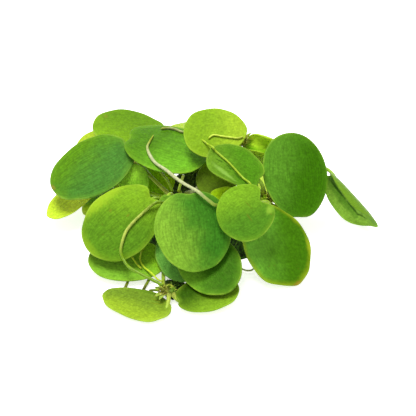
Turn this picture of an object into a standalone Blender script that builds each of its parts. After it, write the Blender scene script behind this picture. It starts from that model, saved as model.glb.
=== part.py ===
"""Amazon frogbit: a handful of floating rosettes, still joined by their runners,
lifted out of the water and laid in a heap on a table.

Each leaf (blade and stalk) is one solid, grown from a crown. Runners join the crowns,
long roots trail over the leaves, and mats of fine roots under the crowns carry the
heap. Places are in millimetres in the tables below and become metres when a piece is
made. A compass of 0 is the front (-Y), 90 the right (+X), 180 the back, 270 the left.
"""

import math
from dataclasses import dataclass

import bmesh
import bpy
from mathutils import Matrix, Vector

MM = 0.001

HEAP_PLACE = (-1.6, -4.25, 0.0)  # brings the middle of the heap's footprint to the origin
BLADE_THICKNESS = 1.3  # spongy middle of a blade
RIM_SHARE = 0.45  # thickness of the rim as a share of the middle
LARGE_BLADE = 24  # length from which a blade gets the finer grid
FINE_GRID = 6  # squares across a large blade
COARSE_GRID = 4  # squares across a small one
TIP_WIDTH = 0.22  # of a pointed tip, as a share of half the blade's width
STALK_RADIUS = 0.85
STALK_PIECES = 5
STALK_INSET = 0.30  # how far into the blade a stalk runs, as a share of half its length
STALK_SWEEP = 0.4  # straight run into the blade, as a share of the way from the crown
STALK_SPRING = 0.6  # straight run out of the crown, as a share of that
TUBE_SIDES = 1  # bevel resolution of stalks, roots and runners
WELD = 0.01  # points of a tube's end nearer than this become one
CLEARANCE = 0.45  # between a crown and what grows from it
REST_GAP = 0.35  # between a root and the blade that it lies on
MAT_SIDES = 12
MAT_RINGS = 6
MAT_WAIST = 0.5  # how much a mat of roots draws in towards its crown
MAT_WAVE = 0.13  # how far its rim wavers

# colour and roughness
LOOKS = {
    "leaf_green": ((0.13, 0.36, 0.02), 0.4),
    "leaf_deep_green": ((0.06, 0.24, 0.03), 0.35),
    "leaf_lime": ((0.32, 0.58, 0.03), 0.4),
    "crown_tan": ((0.35, 0.30, 0.08), 0.6),
    "runner_olive": ((0.42, 0.45, 0.12), 0.5),
    "root_white": ((0.72, 0.72, 0.45), 0.5),
    "root_brown": ((0.07, 0.08, 0.02), 0.8),
}
SMOOTH_UNDER = math.radians(50)  # edges sharper than this stay crisp


@dataclass
class Crown:
    """The short stem that a rosette grows from."""

    name: str
    centre: tuple
    radius: float


@dataclass
class Leaf:
    """A blade on its stalk."""

    name: str
    crown: str
    centre: tuple  # middle of the blade
    faces: tuple  # compass and elevation of the upper side
    points: float  # compass of the tip
    length: float
    width: float
    cup: float = 0.0  # rise of the rim above the middle
    roll: float = 0.0  # degrees that the blade is rolled up about its midrib
    curl: tuple = ()  # bearing in the blade from the tip, start as a share, bend radius
    taper: float = 0.06  # how much wider towards the tip
    notch: float = 0.12  # how far the base is drawn in, as a share of half the length
    notch_width: float = 0.26  # as a share of half the width
    tip: float = 0.0  # how far the tip is drawn out
    stalk_leaves: tuple = ()  # compass and elevation at which it leaves the crown
    stalk_drop: float = 0.5  # how steeply it comes up from under the blade
    green: str = "leaf_green"


@dataclass
class Strand:
    """A root or a runner. A point is a place, or a leaf and where on its blade."""

    name: str
    radius: float
    points: list
    pieces: int = 2  # between two points of its route


@dataclass
class RootMat:
    """Fine roots under a crown, pressed flat where they meet the table."""

    name: str
    foot: tuple  # middle of the flat underside
    spread: tuple  # half its width and half its depth
    top: tuple  # just under the crown
    lobes: int
    turn: float


CROWNS = [
    Crown("crown_front", (-14.8, -34.0, 5.4), 2.2),
    Crown("crown_right", (22.0, 6.0, 17.0), 3.4),
    Crown("crown_top", (13.8, 28.3, 30.5), 1.8),
    Crown("crown_centre", (-12.0, 10.0, 13.0), 3.6),
    Crown("crown_left", (-33.0, 32.0, 14.0), 3.4),
    Crown("crown_back", (36.0, 34.0, 10.0), 3.2),
]

LEAVES = [
    # the rosette at the front
    Leaf("leaf_front_left", "crown_front", (-27.5, -38.4, 2.3), (0, 88), 247, 27.5, 15.8,
         taper=-0.15, notch=0.0, green="leaf_lime"),
    Leaf("leaf_front_low", "crown_front", (-0.5, -34.6, 3.2), (350, 80), 106, 25, 17, cup=0.8,
         green="leaf_lime"),
    Leaf("leaf_under_left", "crown_front", (-31.3, -16.6, 5.5), (0, 76), 268, 31, 20.2,
         stalk_leaves=(220, -25)),
    # the rosette in the middle
    Leaf("leaf_front_right", "crown_centre", (-0.4, -23.6, 10.8), (335, 62), 38, 32, 22.6,
         stalk_leaves=(38, 25), stalk_drop=0.0, green="leaf_deep_green"),
    Leaf("leaf_front_blue", "crown_centre", (-10.9, -17.7, 8.7), (345, 64), 30, 23.5, 18.5,
         green="leaf_deep_green"),
    Leaf("leaf_centre", "crown_centre", (-5.3, -20.0, 23.2), (12, 48), 10, 32, 29.6, cup=-1.5,
         taper=-0.05, stalk_drop=1.5),
    Leaf("leaf_left_front", "crown_centre", (-33.75, -10.6, 20.0), (345, 52), 300, 34.2, 27.5, cup=-1.5,
         notch=0.14, notch_width=0.2, stalk_leaves=(280, 10)),
    Leaf("leaf_top_left", "crown_centre", (-17.0, 26.3, 30.0), (60, 82), 75, 35, 29.5, cup=-1.5),
    Leaf("leaf_small_behind", "crown_centre", (-30.0, 15.1, 20.0), (0, 42), 190, 14, 12),
    Leaf("leaf_inner_dark", "crown_centre", (-22.0, 26.0, 12.0), (0, 50), 170, 18, 16,
         green="leaf_deep_green"),
    Leaf("leaf_inner_left", "crown_centre", (-16.6, 0.5, 18.4), (350, 50), 350, 10, 7,
         green="leaf_lime"),
    # the rosette on the left
    Leaf("leaf_left_big", "crown_left", (-47.2, 20.0, 24.2), (330, 68), 296, 36.5, 28.0, cup=-1.0,
         taper=-0.04, green="leaf_deep_green"),
    Leaf("leaf_back_left", "crown_left", (-33.0, 45.0, 26.0), (10, 84), 265, 30, 21, taper=0.28),
    Leaf("leaf_low_left", "crown_left", (-55.3, 17.0, 10.5), (290, 74), 315, 26, 15,
         green="leaf_lime"),
    Leaf("leaf_behind_left", "crown_left", (-45.5, 43.5, 19.5), (300, 76), 300, 21, 17,
         green="leaf_lime"),
    Leaf("leaf_left_sliver", "crown_left", (-46.5, 18.4, 5.5), (300, 70), 320, 12, 10),
    # the rosette on the right
    Leaf("leaf_small_heart", "crown_right", (14.6, -16.1, 28.8), (0, 46), 298, 22.5, 21.5, notch=0.38,
         notch_width=0.34, stalk_leaves=(20, 20), stalk_drop=1.4),
    Leaf("leaf_lower_right", "crown_right", (26.5, -17.0, 13.2), (20, 46), 42, 33, 25.6, tip=0.06),
    Leaf("leaf_right_round", "crown_right", (35.1, 12.4, 25.0), (35, 46), 185, 35, 28.5, notch=0.04,
         green="leaf_deep_green"),
    Leaf("leaf_middle", "crown_right", (10.9, 8.3, 32.6), (5, 60), 247, 24, 17.0, curl=(270, 0.3, 5)),
    Leaf("leaf_inner_right", "crown_right", (6.1, 6.6, 16.8), (340, 50), 280, 13, 11,
         green="leaf_lime"),
    # the small rosette lying on top
    Leaf("leaf_top_centre", "crown_top", (2.9, 25.0, 37.3), (0, 64), 278, 25.2, 22, taper=0.13,
         notch=0.0, green="leaf_lime"),
    Leaf("leaf_rolled", "crown_top", (22.2, 25.9, 28.9), (0, 50), 74, 14.5, 13, roll=230,
         stalk_leaves=(80, 5), green="leaf_lime"),
    Leaf("leaf_behind_round", "crown_top", (26.2, 18.8, 20.4), (20, 50), 75, 25, 19, taper=0.2,
         stalk_leaves=(62, -50)),
    Leaf("leaf_under_middle", "crown_top", (4.6, 16.3, 22.2), (350, 50), 300, 20, 15.5,
         stalk_leaves=(320, -40), green="leaf_deep_green"),
    Leaf("leaf_top_behind", "crown_top", (-5.0, 46.0, 24.3), (180, 75), 270, 22, 18,
         green="leaf_lime"),
    # the rosette at the back
    Leaf("leaf_far_right", "crown_back", (57.9, 15.7, 10.9), (316, -12), 54, 28, 17.6, roll=160, tip=0.12),
    Leaf("leaf_back_middle", "crown_back", (13.0, 46.0, 13.0), (180, 60), 230, 26, 21),
    Leaf("leaf_back_right", "crown_back", (36.5, 47.6, 5.5), (165, 76), 170, 17, 15),
]

STRANDS = [
    # runners, from crown to crown
    Strand("runner_front", 0.6, [
        (-13.0, 6.3, 14.8), (-11.8, 0.5, 17.6), (-15.0, -4.5, 23.6), (-20.0, -7.3, 26.5),
        ("leaf_left_front", -0.25, -0.57), ("leaf_left_front", -0.27, -0.22),
        ("leaf_left_front", -0.33, 0.05), ("leaf_left_front", -0.48, 0.28),
        ("leaf_left_front", -0.65, 0.45), ("leaf_left_front", -0.83, 0.51),
        (-31.5, -24.6, 9.9), (-29.8, -26.7, 9.6), (-27.1, -28.6, 9.3), (-23.1, -31.0, 8.6),
        (-19.3, -33.2, 8.0), (-17.2, -34.6, 7.8)], pieces=1),
    Strand("runner_top", 0.85, [
        (-9.5, 12.5, 15.5), (-4.4, 14.4, 17.0), (1.2, 19.7, 20.0), (7.0, 25.5, 25.0), (10.8, 28.3, 28.4)]),
    Strand("runner_left", 0.9, [
        (-16.5, 12.2, 13.0), (-21.5, 16.5, 12.0), (-28.0, 20.0, 12.0), (-31.8, 27.4, 13.1)], pieces=1),
    Strand("runner_right", 0.9, [
        (-7.5, 9.5, 12.0), (0.0, 8.0, 10.0), (10.0, 6.5, 11.5), (18.0, 6.0, 15.0)], pieces=1),
    Strand("runner_back", 0.9, [
        (24.4, 8.8, 13.3), (27.8, 13.6, 8.6), (32.0, 23.0, 7.0), (34.4, 29.6, 8.4)], pieces=1),
    # bare stalks, whose blades are gone
    Strand("stalk_bare_left", 0.5, [(-14.1, 12.3, 16.6), (-16.1, 14.6, 20.0), (-19.4, 18.0, 23.0)], pieces=1),
    Strand("stalk_bare_back", 0.55, [(-11.9, 11.7, 17.4), (-11.0, 12.0, 21.0), (-9.8, 13.2, 24.6)], pieces=1),
    # long roots
    Strand("root_long_white", 0.65, [
        ("leaf_top_left", -0.23, -0.37), ("leaf_top_left", 0.07, -0.39), ("leaf_top_left", 0.34, -0.37),
        ("leaf_top_left", 0.6, -0.24), ("leaf_top_left", 0.82, -0.04), (-16.8, 10.2, 29.4),
        (-11.0, 2.2, 29.8), (-5.0, -7.7, 33.0), (-3.4, -9.8, 33.3), (-1.6, -10.9, 32.2), (0.9, -11.8, 30.3),
        (3.4, -12.2, 29.0), (8.3, -8.7, 28.2), (14.0, -3.5, 24.5), (18.2, 4.4, 20.2)], pieces=1),
    Strand("root_behind_top", 0.55, [
        ("leaf_top_left", -0.63, -0.29), ("leaf_top_left", -0.76, -0.14), ("leaf_top_left", -0.78, 0.03),
        ("leaf_top_left", -0.73, 0.23), (-3.0, 34.5, 30.5), (5.0, 33.0, 31.2), (11.3, 30.3, 31.0)],
        pieces=1),
    Strand("root_front_arch", 0.38, [
        ("leaf_under_left", 0.58, -0.38), ("leaf_under_left", 0.3, -0.32), ("leaf_under_left", -0.05, -0.32),
        ("leaf_under_left", -0.38, -0.42), (-21.6, -25.3, 5.6), (-19.4, -29.3, 6.2), (-17.6, -31.8, 7.2)],
        pieces=1),
    Strand("root_front_tip", 0.35, [
        ("leaf_under_left", 0.15, -0.07), ("leaf_under_left", -0.25, -0.24),
        ("leaf_under_left", -0.47, -0.36)], pieces=1),
    Strand("root_over_middle", 0.42, [
        ("leaf_top_centre", -0.27, 0.45), (-1.3, 20.0, 36.1), (-0.1, 18.4, 36.0), (1.9, 13.7, 37.9),
        ("leaf_middle", 0.2, 0.82), ("leaf_middle", 0.1, 0.55), ("leaf_middle", -0.05, 0.2),
        ("leaf_middle", -0.4, -0.4), (16.3, 0.4, 30.2), (18.4, -1.0, 26.5), (19.6, 0.9, 23.0),
        (20.0, 3.5, 20.2)], pieces=1),
    Strand("root_on_top", 0.4, [
        ("leaf_top_centre", -0.25, 0.26), ("leaf_top_centre", -0.14, 0.08), ("leaf_top_centre", -0.22, -0.14),
        ("leaf_top_centre", -0.34, -0.42), ("leaf_top_centre", -0.44, -0.66),
        ("leaf_top_centre", -0.42, -0.84)], pieces=1),
    Strand("root_arc_thin", 0.35, [
        (9.0, -13.5, 3.0), (12.6, -17.0, 1.6), (15.5, -18.3, 1.2), (18.0, -17.5, 1.5), (21.0, -13.0, 3.0)],
        pieces=1),
    Strand("root_white_left", 0.45, [
        (20.1, 5.0, 20.9), (19.9, 6.5, 22.3), (19.4, 8.6, 23.3)], pieces=1),
    Strand("root_white_right", 0.4, [
        (23.9, 4.7, 20.8), (23.9, 6.6, 22.2), (23.3, 8.6, 23.4)], pieces=1),
    Strand("root_under_left", 0.6, [
        (-29.3, -16.0, 2.4), (-30.8, -23.5, 1.5), (-32.3, -29.3, 1.0)], pieces=1),
    Strand("root_under_middle", 0.6, [
        (-22.0, -19.0, 2.2), (-23.0, -24.0, 1.5), (-25.0, -29.3, 1.0)], pieces=1),
    Strand("root_under_right", 0.5, [
        (-18.6, -33.0, 3.6), (-20.5, -31.5, 2.6), (-22.5, -30.3, 1.4)], pieces=1),
]

ROOT_MATS = [
    RootMat("roots_front", (-13.4, -27.8), (4.6, 5.8), (-13.0, -29.6, 4.0), 3, 0.4),
    RootMat("roots_centre", (-11.5, 9.0), (16.0, 13.5), (-11.5, 10.5, 8.6), 5, 1.1),
    RootMat("roots_behind", (-4.5, 34.0), (15.5, 8.5), (-4.5, 26.0, 19.0), 4, 0.9),
    RootMat("roots_left", (-34.0, 30.0), (10.0, 9.0), (-33.0, 32.0, 10.0), 4, 2.0),
    RootMat("roots_right", (17.0, -1.5), (12.0, 9.5), (22.0, 5.5, 13.0), 5, 0.2),
    RootMat("roots_back", (37.0, 35.0), (9.0, 8.0), (36.0, 34.0, 6.2), 3, 2.6),
]


def compass(degrees, elevation=0.0):
    """Unit direction of a compass bearing at an elevation."""
    bearing, rise = math.radians(degrees), math.radians(elevation)
    flat = math.cos(rise)
    return Vector((math.sin(bearing) * flat, -math.cos(bearing) * flat, math.sin(rise)))


def blade_frame(leaf):
    """The blade's own axes: X across, Y from base to tip, Z out of the upper side."""
    up = compass(*leaf.faces)
    heading = compass(leaf.points)
    along = heading - Vector((0, 0, heading.dot(up) / up.z))
    along.normalize()
    across = along.cross(up)
    frame = Matrix((across, along, up)).transposed().to_4x4()
    frame.translation = Vector(leaf.centre)
    return frame


def rolled(across, half_width, roll):
    """A point across the blade, moved round the midrib: (across, up)."""
    if not roll:
        return across, 0.0
    radius = half_width / math.radians(roll / 2)
    angle = across / radius
    return radius * math.sin(angle), radius * (1 - math.cos(angle))


def curled(leaf, across, along, up):
    """The margin past the curl's line, bent up."""
    bearing, start, radius = leaf.curl
    turn = math.radians(bearing)
    toward = (math.sin(turn), math.cos(turn))
    reach = across * toward[0] + along * toward[1]
    past = reach - start * leaf.length / 2
    if past <= 0:
        return across, along, up
    angle = past / radius
    shift = radius * math.sin(angle) - past
    rise = radius * (1 - math.cos(angle))
    return across + shift * toward[0], along + shift * toward[1], up + rise


def blade_point(leaf, a, b):
    """A point of the unit disc (a across, b towards the tip) on the upper side."""
    base_pull = max(0.0, -b) ** 2 * math.exp(-((a / leaf.notch_width) ** 2))
    tip_pull = max(0.0, b) ** 2 * math.exp(-((a / TIP_WIDTH) ** 2))
    half_width, half_length = leaf.width / 2, leaf.length / 2
    across = a * half_width * (1 + leaf.taper * b)
    along = half_length * (b + leaf.notch * base_pull + leaf.tip * tip_pull)
    across, up = rolled(across, half_width, leaf.roll)
    up += leaf.cup * (a * a + b * b)
    if leaf.curl:
        across, along, up = curled(leaf, across, along, up)
    return Vector((across, along, up))


def disc_from_square(x, y):
    """A point of the square from -1 to 1, moved to the unit disc."""
    return x * math.sqrt(1 - y * y / 2), y * math.sqrt(1 - x * x / 2)


def material(name):
    made = bpy.data.materials.get(name)
    if made:
        return made
    colour, roughness = LOOKS[name]
    made = bpy.data.materials.new(name)
    made.use_nodes = True
    shader = made.node_tree.nodes["Principled BSDF"]
    shader.inputs["Base Color"].default_value = (*colour, 1)
    shader.inputs["Roughness"].default_value = roughness
    shader.inputs["Metallic"].default_value = 0
    return made


def add_object(name, mesh, collection):
    obj = bpy.data.objects.new(name, mesh)
    collection.objects.link(obj)
    return obj


def finish(obj, look):
    """Smooth shading and the piece's material."""
    obj.data.shade_smooth()
    obj.data.set_sharp_from_angle(angle=SMOOTH_UNDER)
    obj.data.materials.append(material(look))
    return obj


def make_blade(leaf, collection):
    """The blade: a sheet with a spongy thickness that thins towards the rim."""
    squares = FINE_GRID if leaf.length >= LARGE_BLADE else COARSE_GRID
    mesh = bpy.data.meshes.new(leaf.name)
    sheet = bmesh.new()
    bmesh.ops.create_grid(sheet, x_segments=squares, y_segments=squares, size=1)
    weights = []
    for vertex in sheet.verts:
        a, b = disc_from_square(vertex.co.x, vertex.co.y)
        weights.append(1 - min(1.0, a * a + b * b) ** 2)
        vertex.co = blade_point(leaf, a, b) * MM
    sheet.to_mesh(mesh)
    sheet.free()
    obj = add_object(leaf.name, mesh, collection)
    thick = obj.vertex_groups.new(name="thick")
    for index, weight in enumerate(weights):
        thick.add([index], weight, "REPLACE")
    solid = obj.modifiers.new("Thickness", "SOLIDIFY")
    solid.thickness = BLADE_THICKNESS * MM
    solid.offset = -1
    solid.vertex_group = thick.name
    solid.thickness_vertex_group = RIM_SHARE
    frame = blade_frame(leaf)
    frame.translation *= MM
    obj.matrix_world = frame
    return obj


def bezier(p0, p1, p2, p3, t):
    s = 1 - t
    return p0 * s**3 + p1 * (3 * s * s * t) + p2 * (3 * s * t * t) + p3 * t**3


def stalk_route(leaf, crown):
    """Points from the crown to a little way inside the blade's base."""
    frame = blade_frame(leaf)
    inset = blade_point(leaf, 0, -1 + STALK_INSET)
    end = frame @ (inset - Vector((0, 0, BLADE_THICKNESS / 2)))
    along, up = frame.col[1].to_3d(), frame.col[2].to_3d()
    arrives = (along + up * leaf.stalk_drop).normalized()
    middle = Vector(crown.centre)
    reach = (end - middle).length * STALK_SWEEP
    before = end - arrives * reach
    leaves = compass(*leaf.stalk_leaves) if leaf.stalk_leaves else (before - middle).normalized()
    start = middle + leaves * (crown.radius + CLEARANCE)
    after = start + leaves * reach * STALK_SPRING
    return [bezier(start, after, before, end, i / STALK_PIECES) for i in range(STALK_PIECES + 1)]


def make_tube(name, points, radius, collection):
    """A round tube along the points, as a closed mesh object."""
    curve = bpy.data.curves.new(name, "CURVE")
    curve.dimensions = "3D"
    curve.bevel_depth = radius * MM
    curve.bevel_resolution = TUBE_SIDES
    curve.use_fill_caps = True
    spline = curve.splines.new("POLY")
    spline.points.add(len(points) - 1)
    for target, point in zip(spline.points, points):
        target.co = (*(point * MM), 1)
    guide = add_object(name + "_line", curve, collection)
    bpy.context.view_layer.update()
    seen = guide.evaluated_get(bpy.context.evaluated_depsgraph_get())
    mesh = bpy.data.meshes.new_from_object(seen)
    bpy.data.objects.remove(guide)
    ends = bmesh.new()
    ends.from_mesh(mesh)
    bmesh.ops.remove_doubles(ends, verts=ends.verts, dist=WELD * MM)
    ends.to_mesh(mesh)
    ends.free()
    mesh.name = name
    return add_object(name, mesh, collection)


def make_leaf(leaf, crown, parts, cutters):
    obj = make_blade(leaf, parts)
    stalk = make_tube(leaf.name + "_stalk", stalk_route(leaf, crown), STALK_RADIUS, cutters)
    stalk.hide_render = True
    stalk.display_type = "WIRE"
    join = obj.modifiers.new("Stalk", "BOOLEAN")
    join.operation = "UNION"
    join.solver = "EXACT"
    join.object = stalk
    return finish(obj, leaf.green)


def make_crown(crown, parts):
    mesh = bpy.data.meshes.new(crown.name)
    ball = bmesh.new()
    bmesh.ops.create_icosphere(ball, subdivisions=2, radius=crown.radius * MM)
    ball.to_mesh(mesh)
    ball.free()
    obj = add_object(crown.name, mesh, parts)
    obj.location = Vector(crown.centre) * MM
    return finish(obj, "crown_tan")


def placed(point, radius, leaves):
    """A route's point in space. One on a blade is lifted clear of it."""
    if not isinstance(point[0], str):
        return Vector(point)
    leaf = leaves[point[0]]
    lift = Vector((0, 0, radius + REST_GAP))
    return blade_frame(leaf) @ (blade_point(leaf, point[1], point[2]) + lift)


def smooth_through(points, pieces):
    """Points of a smooth curve through a route's points."""
    ends = [points[0] * 2 - points[1]] + points + [points[-1] * 2 - points[-2]]
    curve = []
    for before, start, end, after in zip(ends, ends[1:], ends[2:], ends[3:]):
        leaves_start = start + (end - before) / 6
        reaches_end = end - (after - start) / 6
        for i in range(pieces):
            curve.append(bezier(start, leaves_start, reaches_end, end, i / pieces))
    return curve + [points[-1]]


def make_strand(strand, leaves, parts):
    points = [placed(point, strand.radius, leaves) for point in strand.points]
    obj = make_tube(strand.name, smooth_through(points, strand.pieces), strand.radius, parts)
    return finish(obj, "root_white" if strand.name.startswith("root") else "runner_olive")


def make_root_mat(mat, parts):
    """A dome with a flat underside, drawn in towards the crown and wavering round its rim."""
    mesh = bpy.data.meshes.new(mat.name)
    dome = bmesh.new()
    bmesh.ops.create_uvsphere(dome, u_segments=MAT_SIDES, v_segments=MAT_RINGS, radius=1)
    for vertex in dome.verts:
        rise = max(0.0, vertex.co.z)
        bearing = math.atan2(vertex.co.y, vertex.co.x)
        wave = (1 + MAT_WAVE * math.sin(mat.lobes * bearing + mat.turn)) * (1 - MAT_WAIST * rise)
        x = mat.foot[0] + (mat.top[0] - mat.foot[0]) * rise + vertex.co.x * mat.spread[0] * wave
        y = mat.foot[1] + (mat.top[1] - mat.foot[1]) * rise + vertex.co.y * mat.spread[1] * wave
        vertex.co = Vector((x, y, mat.top[2] * rise)) * MM
    dome.to_mesh(mesh)
    dome.free()
    return finish(add_object(mat.name, mesh, parts), "root_brown")


def new_collection(name):
    made = bpy.data.collections.new(name)
    bpy.context.scene.collection.children.link(made)
    return made


def main():
    for obj in list(bpy.data.objects):
        bpy.data.objects.remove(obj)
    parts = new_collection("amazon_frogbit")
    cutters = new_collection("joined_pieces")
    crowns = {crown.name: crown for crown in CROWNS}
    leaves = {leaf.name: leaf for leaf in LEAVES}
    for crown in CROWNS:
        make_crown(crown, parts)
    for leaf in LEAVES:
        make_leaf(leaf, crowns[leaf.crown], parts, cutters)
    for strand in STRANDS:
        make_strand(strand, leaves, parts)
    for mat in ROOT_MATS:
        make_root_mat(mat, parts)
    pieces = [*parts.objects, *cutters.objects]
    heap = add_object("heap", None, parts)
    heap.location = Vector(HEAP_PLACE) * MM
    for obj in pieces:
        obj.parent = heap


main()
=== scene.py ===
"""Amazon frogbit: a handful of floating rosettes, still joined by their runners, laid in a heap
on a white table. Places are in millimetres. A compass of 0 is the front (-Y), 90 the right
(+X), 180 the back and 270 the left. Colours are as on a screen.
"""

import math
from dataclasses import dataclass

import bpy
import numpy as np
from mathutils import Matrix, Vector


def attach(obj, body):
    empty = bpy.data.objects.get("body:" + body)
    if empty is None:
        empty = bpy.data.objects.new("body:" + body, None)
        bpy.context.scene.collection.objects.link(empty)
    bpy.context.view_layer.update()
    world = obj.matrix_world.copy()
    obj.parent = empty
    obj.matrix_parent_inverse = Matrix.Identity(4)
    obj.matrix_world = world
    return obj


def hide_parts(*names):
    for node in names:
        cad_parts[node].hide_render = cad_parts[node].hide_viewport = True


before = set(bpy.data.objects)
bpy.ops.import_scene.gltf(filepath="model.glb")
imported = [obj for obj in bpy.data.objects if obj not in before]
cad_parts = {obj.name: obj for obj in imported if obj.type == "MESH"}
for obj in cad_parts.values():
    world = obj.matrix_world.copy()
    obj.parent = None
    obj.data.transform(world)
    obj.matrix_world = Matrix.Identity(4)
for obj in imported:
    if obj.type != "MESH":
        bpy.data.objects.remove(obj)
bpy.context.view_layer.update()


# The front rosette. Its crown, a stubby stem wrapped in dry papery sheaths, lies in the gap
# at the front, and its three leaves lie low to either side of it and behind it. Each leaf is
# a round spongy blade grown in one with a smooth juicy stalk.

MM = 0.001
HEAP_PLACE = np.array((-1.6, -4.25, 0.0))  # brings the middle of the heap's footprint to the origin
BLADE_THICKNESS = 1.3
RIM_SHARE = 0.45  # thickness of the rim as a share of the middle
RIM_BULGE = 0.22  # how far the rounded rim stands out
RIM_WAVER = 0.10  # how far the rim wavers up and down
SWELL = 0.09  # how far a blade swells between
TIP_WIDTH = 0.22  # of a drawn-out tip, as a share of half the blade's width
STALK_RADIUS = 0.85
STALK_STEPS = 26
STALK_INSET = 0.30  # how far into the blade a stalk runs, as a share of half its length
CLEARANCE = 0.45  # between a crown and what grows from it
RIB_DEPTH = 0.02
RIBS = 4.5  # shallow arching furrows on each side of the midrib
LARGE_BLADE = 20  # blades longer than this have the finer mesh
TUBE_SIDES = 12


def compass(degrees, elevation=0.0):
    """Unit direction of a compass bearing at an elevation."""
    bearing, rise = math.radians(degrees), math.radians(elevation)
    return np.array((math.sin(bearing) * math.cos(rise), -math.cos(bearing) * math.cos(rise), math.sin(rise)))


def unit(vectors):
    return vectors / np.maximum(np.linalg.norm(vectors, axis=-1, keepdims=True), 1e-9)


def around(count):
    """Angles of evenly spaced spokes."""
    return np.arange(count) * 2 * math.pi / count


def ring_faces(rings, spokes, first=0):
    """Faces between rings of points that follow one another, from the point numbered first."""
    faces = []
    for i in range(rings - 1):
        low, high = first + i * spokes, first + (i + 1) * spokes
        for j in range(spokes):
            k = (j + 1) % spokes
            faces.append((low + j, low + k, high + k, high + j))
    return faces


def fan_faces(middle, first, spokes, closing=False):
    """Faces between one point and a ring, before the first ring or, closing, after the last."""
    ring = range(first, first + spokes)
    pairs = zip(ring, [*ring[1:], first])
    return [(middle, here, after) if closing else (middle, after, here) for here, after in pairs]


def linear(colour):
    """A screen colour (0 to 255) as the shader's linear one, with alpha."""
    share = [c / 255 for c in colour]
    return tuple(c / 12.92 if c <= 0.04045 else ((c + 0.055) / 1.055) ** 2.4 for c in share) + (1.0,)


class Growth:
    """One piece as it grows: points, faces, which finish each face has, and a mark on each point."""

    def __init__(self):
        self.points, self.marks, self.faces, self.finishes, self.count = [], [], [], [], 0

    def add(self, points, faces, marks=None, finish=0):
        self.points.append(points)
        self.marks.append(np.zeros_like(points) if marks is None else marks)
        self.faces += [tuple(i + self.count for i in face) for face in faces]
        self.finishes += [finish] * len(faces)
        self.count += len(points)

    def piece(self, name, node, skins):
        """Makes the finished piece, which stands in for its solid."""
        mesh = bpy.data.meshes.new(name)
        places = np.vstack(self.points) + HEAP_PLACE
        places[:, 2] = np.maximum(places[:, 2], 0.0)  # what reaches the table lies flat on it
        mesh.from_pydata((places * MM).tolist(), [], self.faces)
        mesh.polygons.foreach_set("material_index", self.finishes)
        mesh.polygons.foreach_set("use_smooth", [True] * len(self.faces))
        mark = mesh.attributes.new("mark", "FLOAT_VECTOR", "POINT")
        mark.data.foreach_set("vector", np.vstack(self.marks).astype(np.float32).ravel())
        for skin in skins:
            mesh.materials.append(skin)
        mesh.update()
        made = bpy.data.objects.new(name, mesh)
        bpy.context.scene.collection.objects.link(made)
        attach(made, "root")
        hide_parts(node)


def tube(growth, route, radii, sides, finish=0, marks=None, cap=True):
    """A round tube along a route. Its marks run from 0 to 1 along it, unless others are given."""
    route = np.asarray(route, float)
    count = len(route)
    radii = np.broadcast_to(radii, count)
    heading = unit(np.gradient(route, axis=0))
    side = np.zeros_like(route)
    first = np.cross(heading[0], (0.3, 0.5, 0.81))
    side[0] = first / np.linalg.norm(first)
    for i in range(1, count):
        turned = side[i - 1] - heading[i] * side[i - 1].dot(heading[i])
        side[i] = turned / max(np.linalg.norm(turned), 1e-9)
    other = np.cross(heading, side)
    cosines, sines = np.cos(around(sides))[None, :, None], np.sin(around(sides))[None, :, None]
    ring = cosines * side[:, None] + sines * other[:, None]
    points = (route[:, None] + ring * radii[:, None, None]).reshape(-1, 3)
    if marks is None:
        marks = np.linspace((0, 0, 0), (1, 0, 0), count)
    faces = ring_faces(count, sides)
    if cap:
        last = (count - 1) * sides
        faces += [tuple(range(sides))[::-1], tuple(range(last, last + sides))]
    growth.add(points, faces, np.repeat(marks, sides, axis=0), finish)


def bezier(p0, p1, p2, p3, steps):
    t = np.linspace(0, 1, steps)[:, None]
    s = 1 - t
    return p0 * s**3 + p1 * (3 * s * s * t) + p2 * (3 * s * t * t) + p3 * t**3


@dataclass
class Crown:
    """The short stem that a rosette grows from."""

    name: str
    centre: tuple
    radius: float


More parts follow.
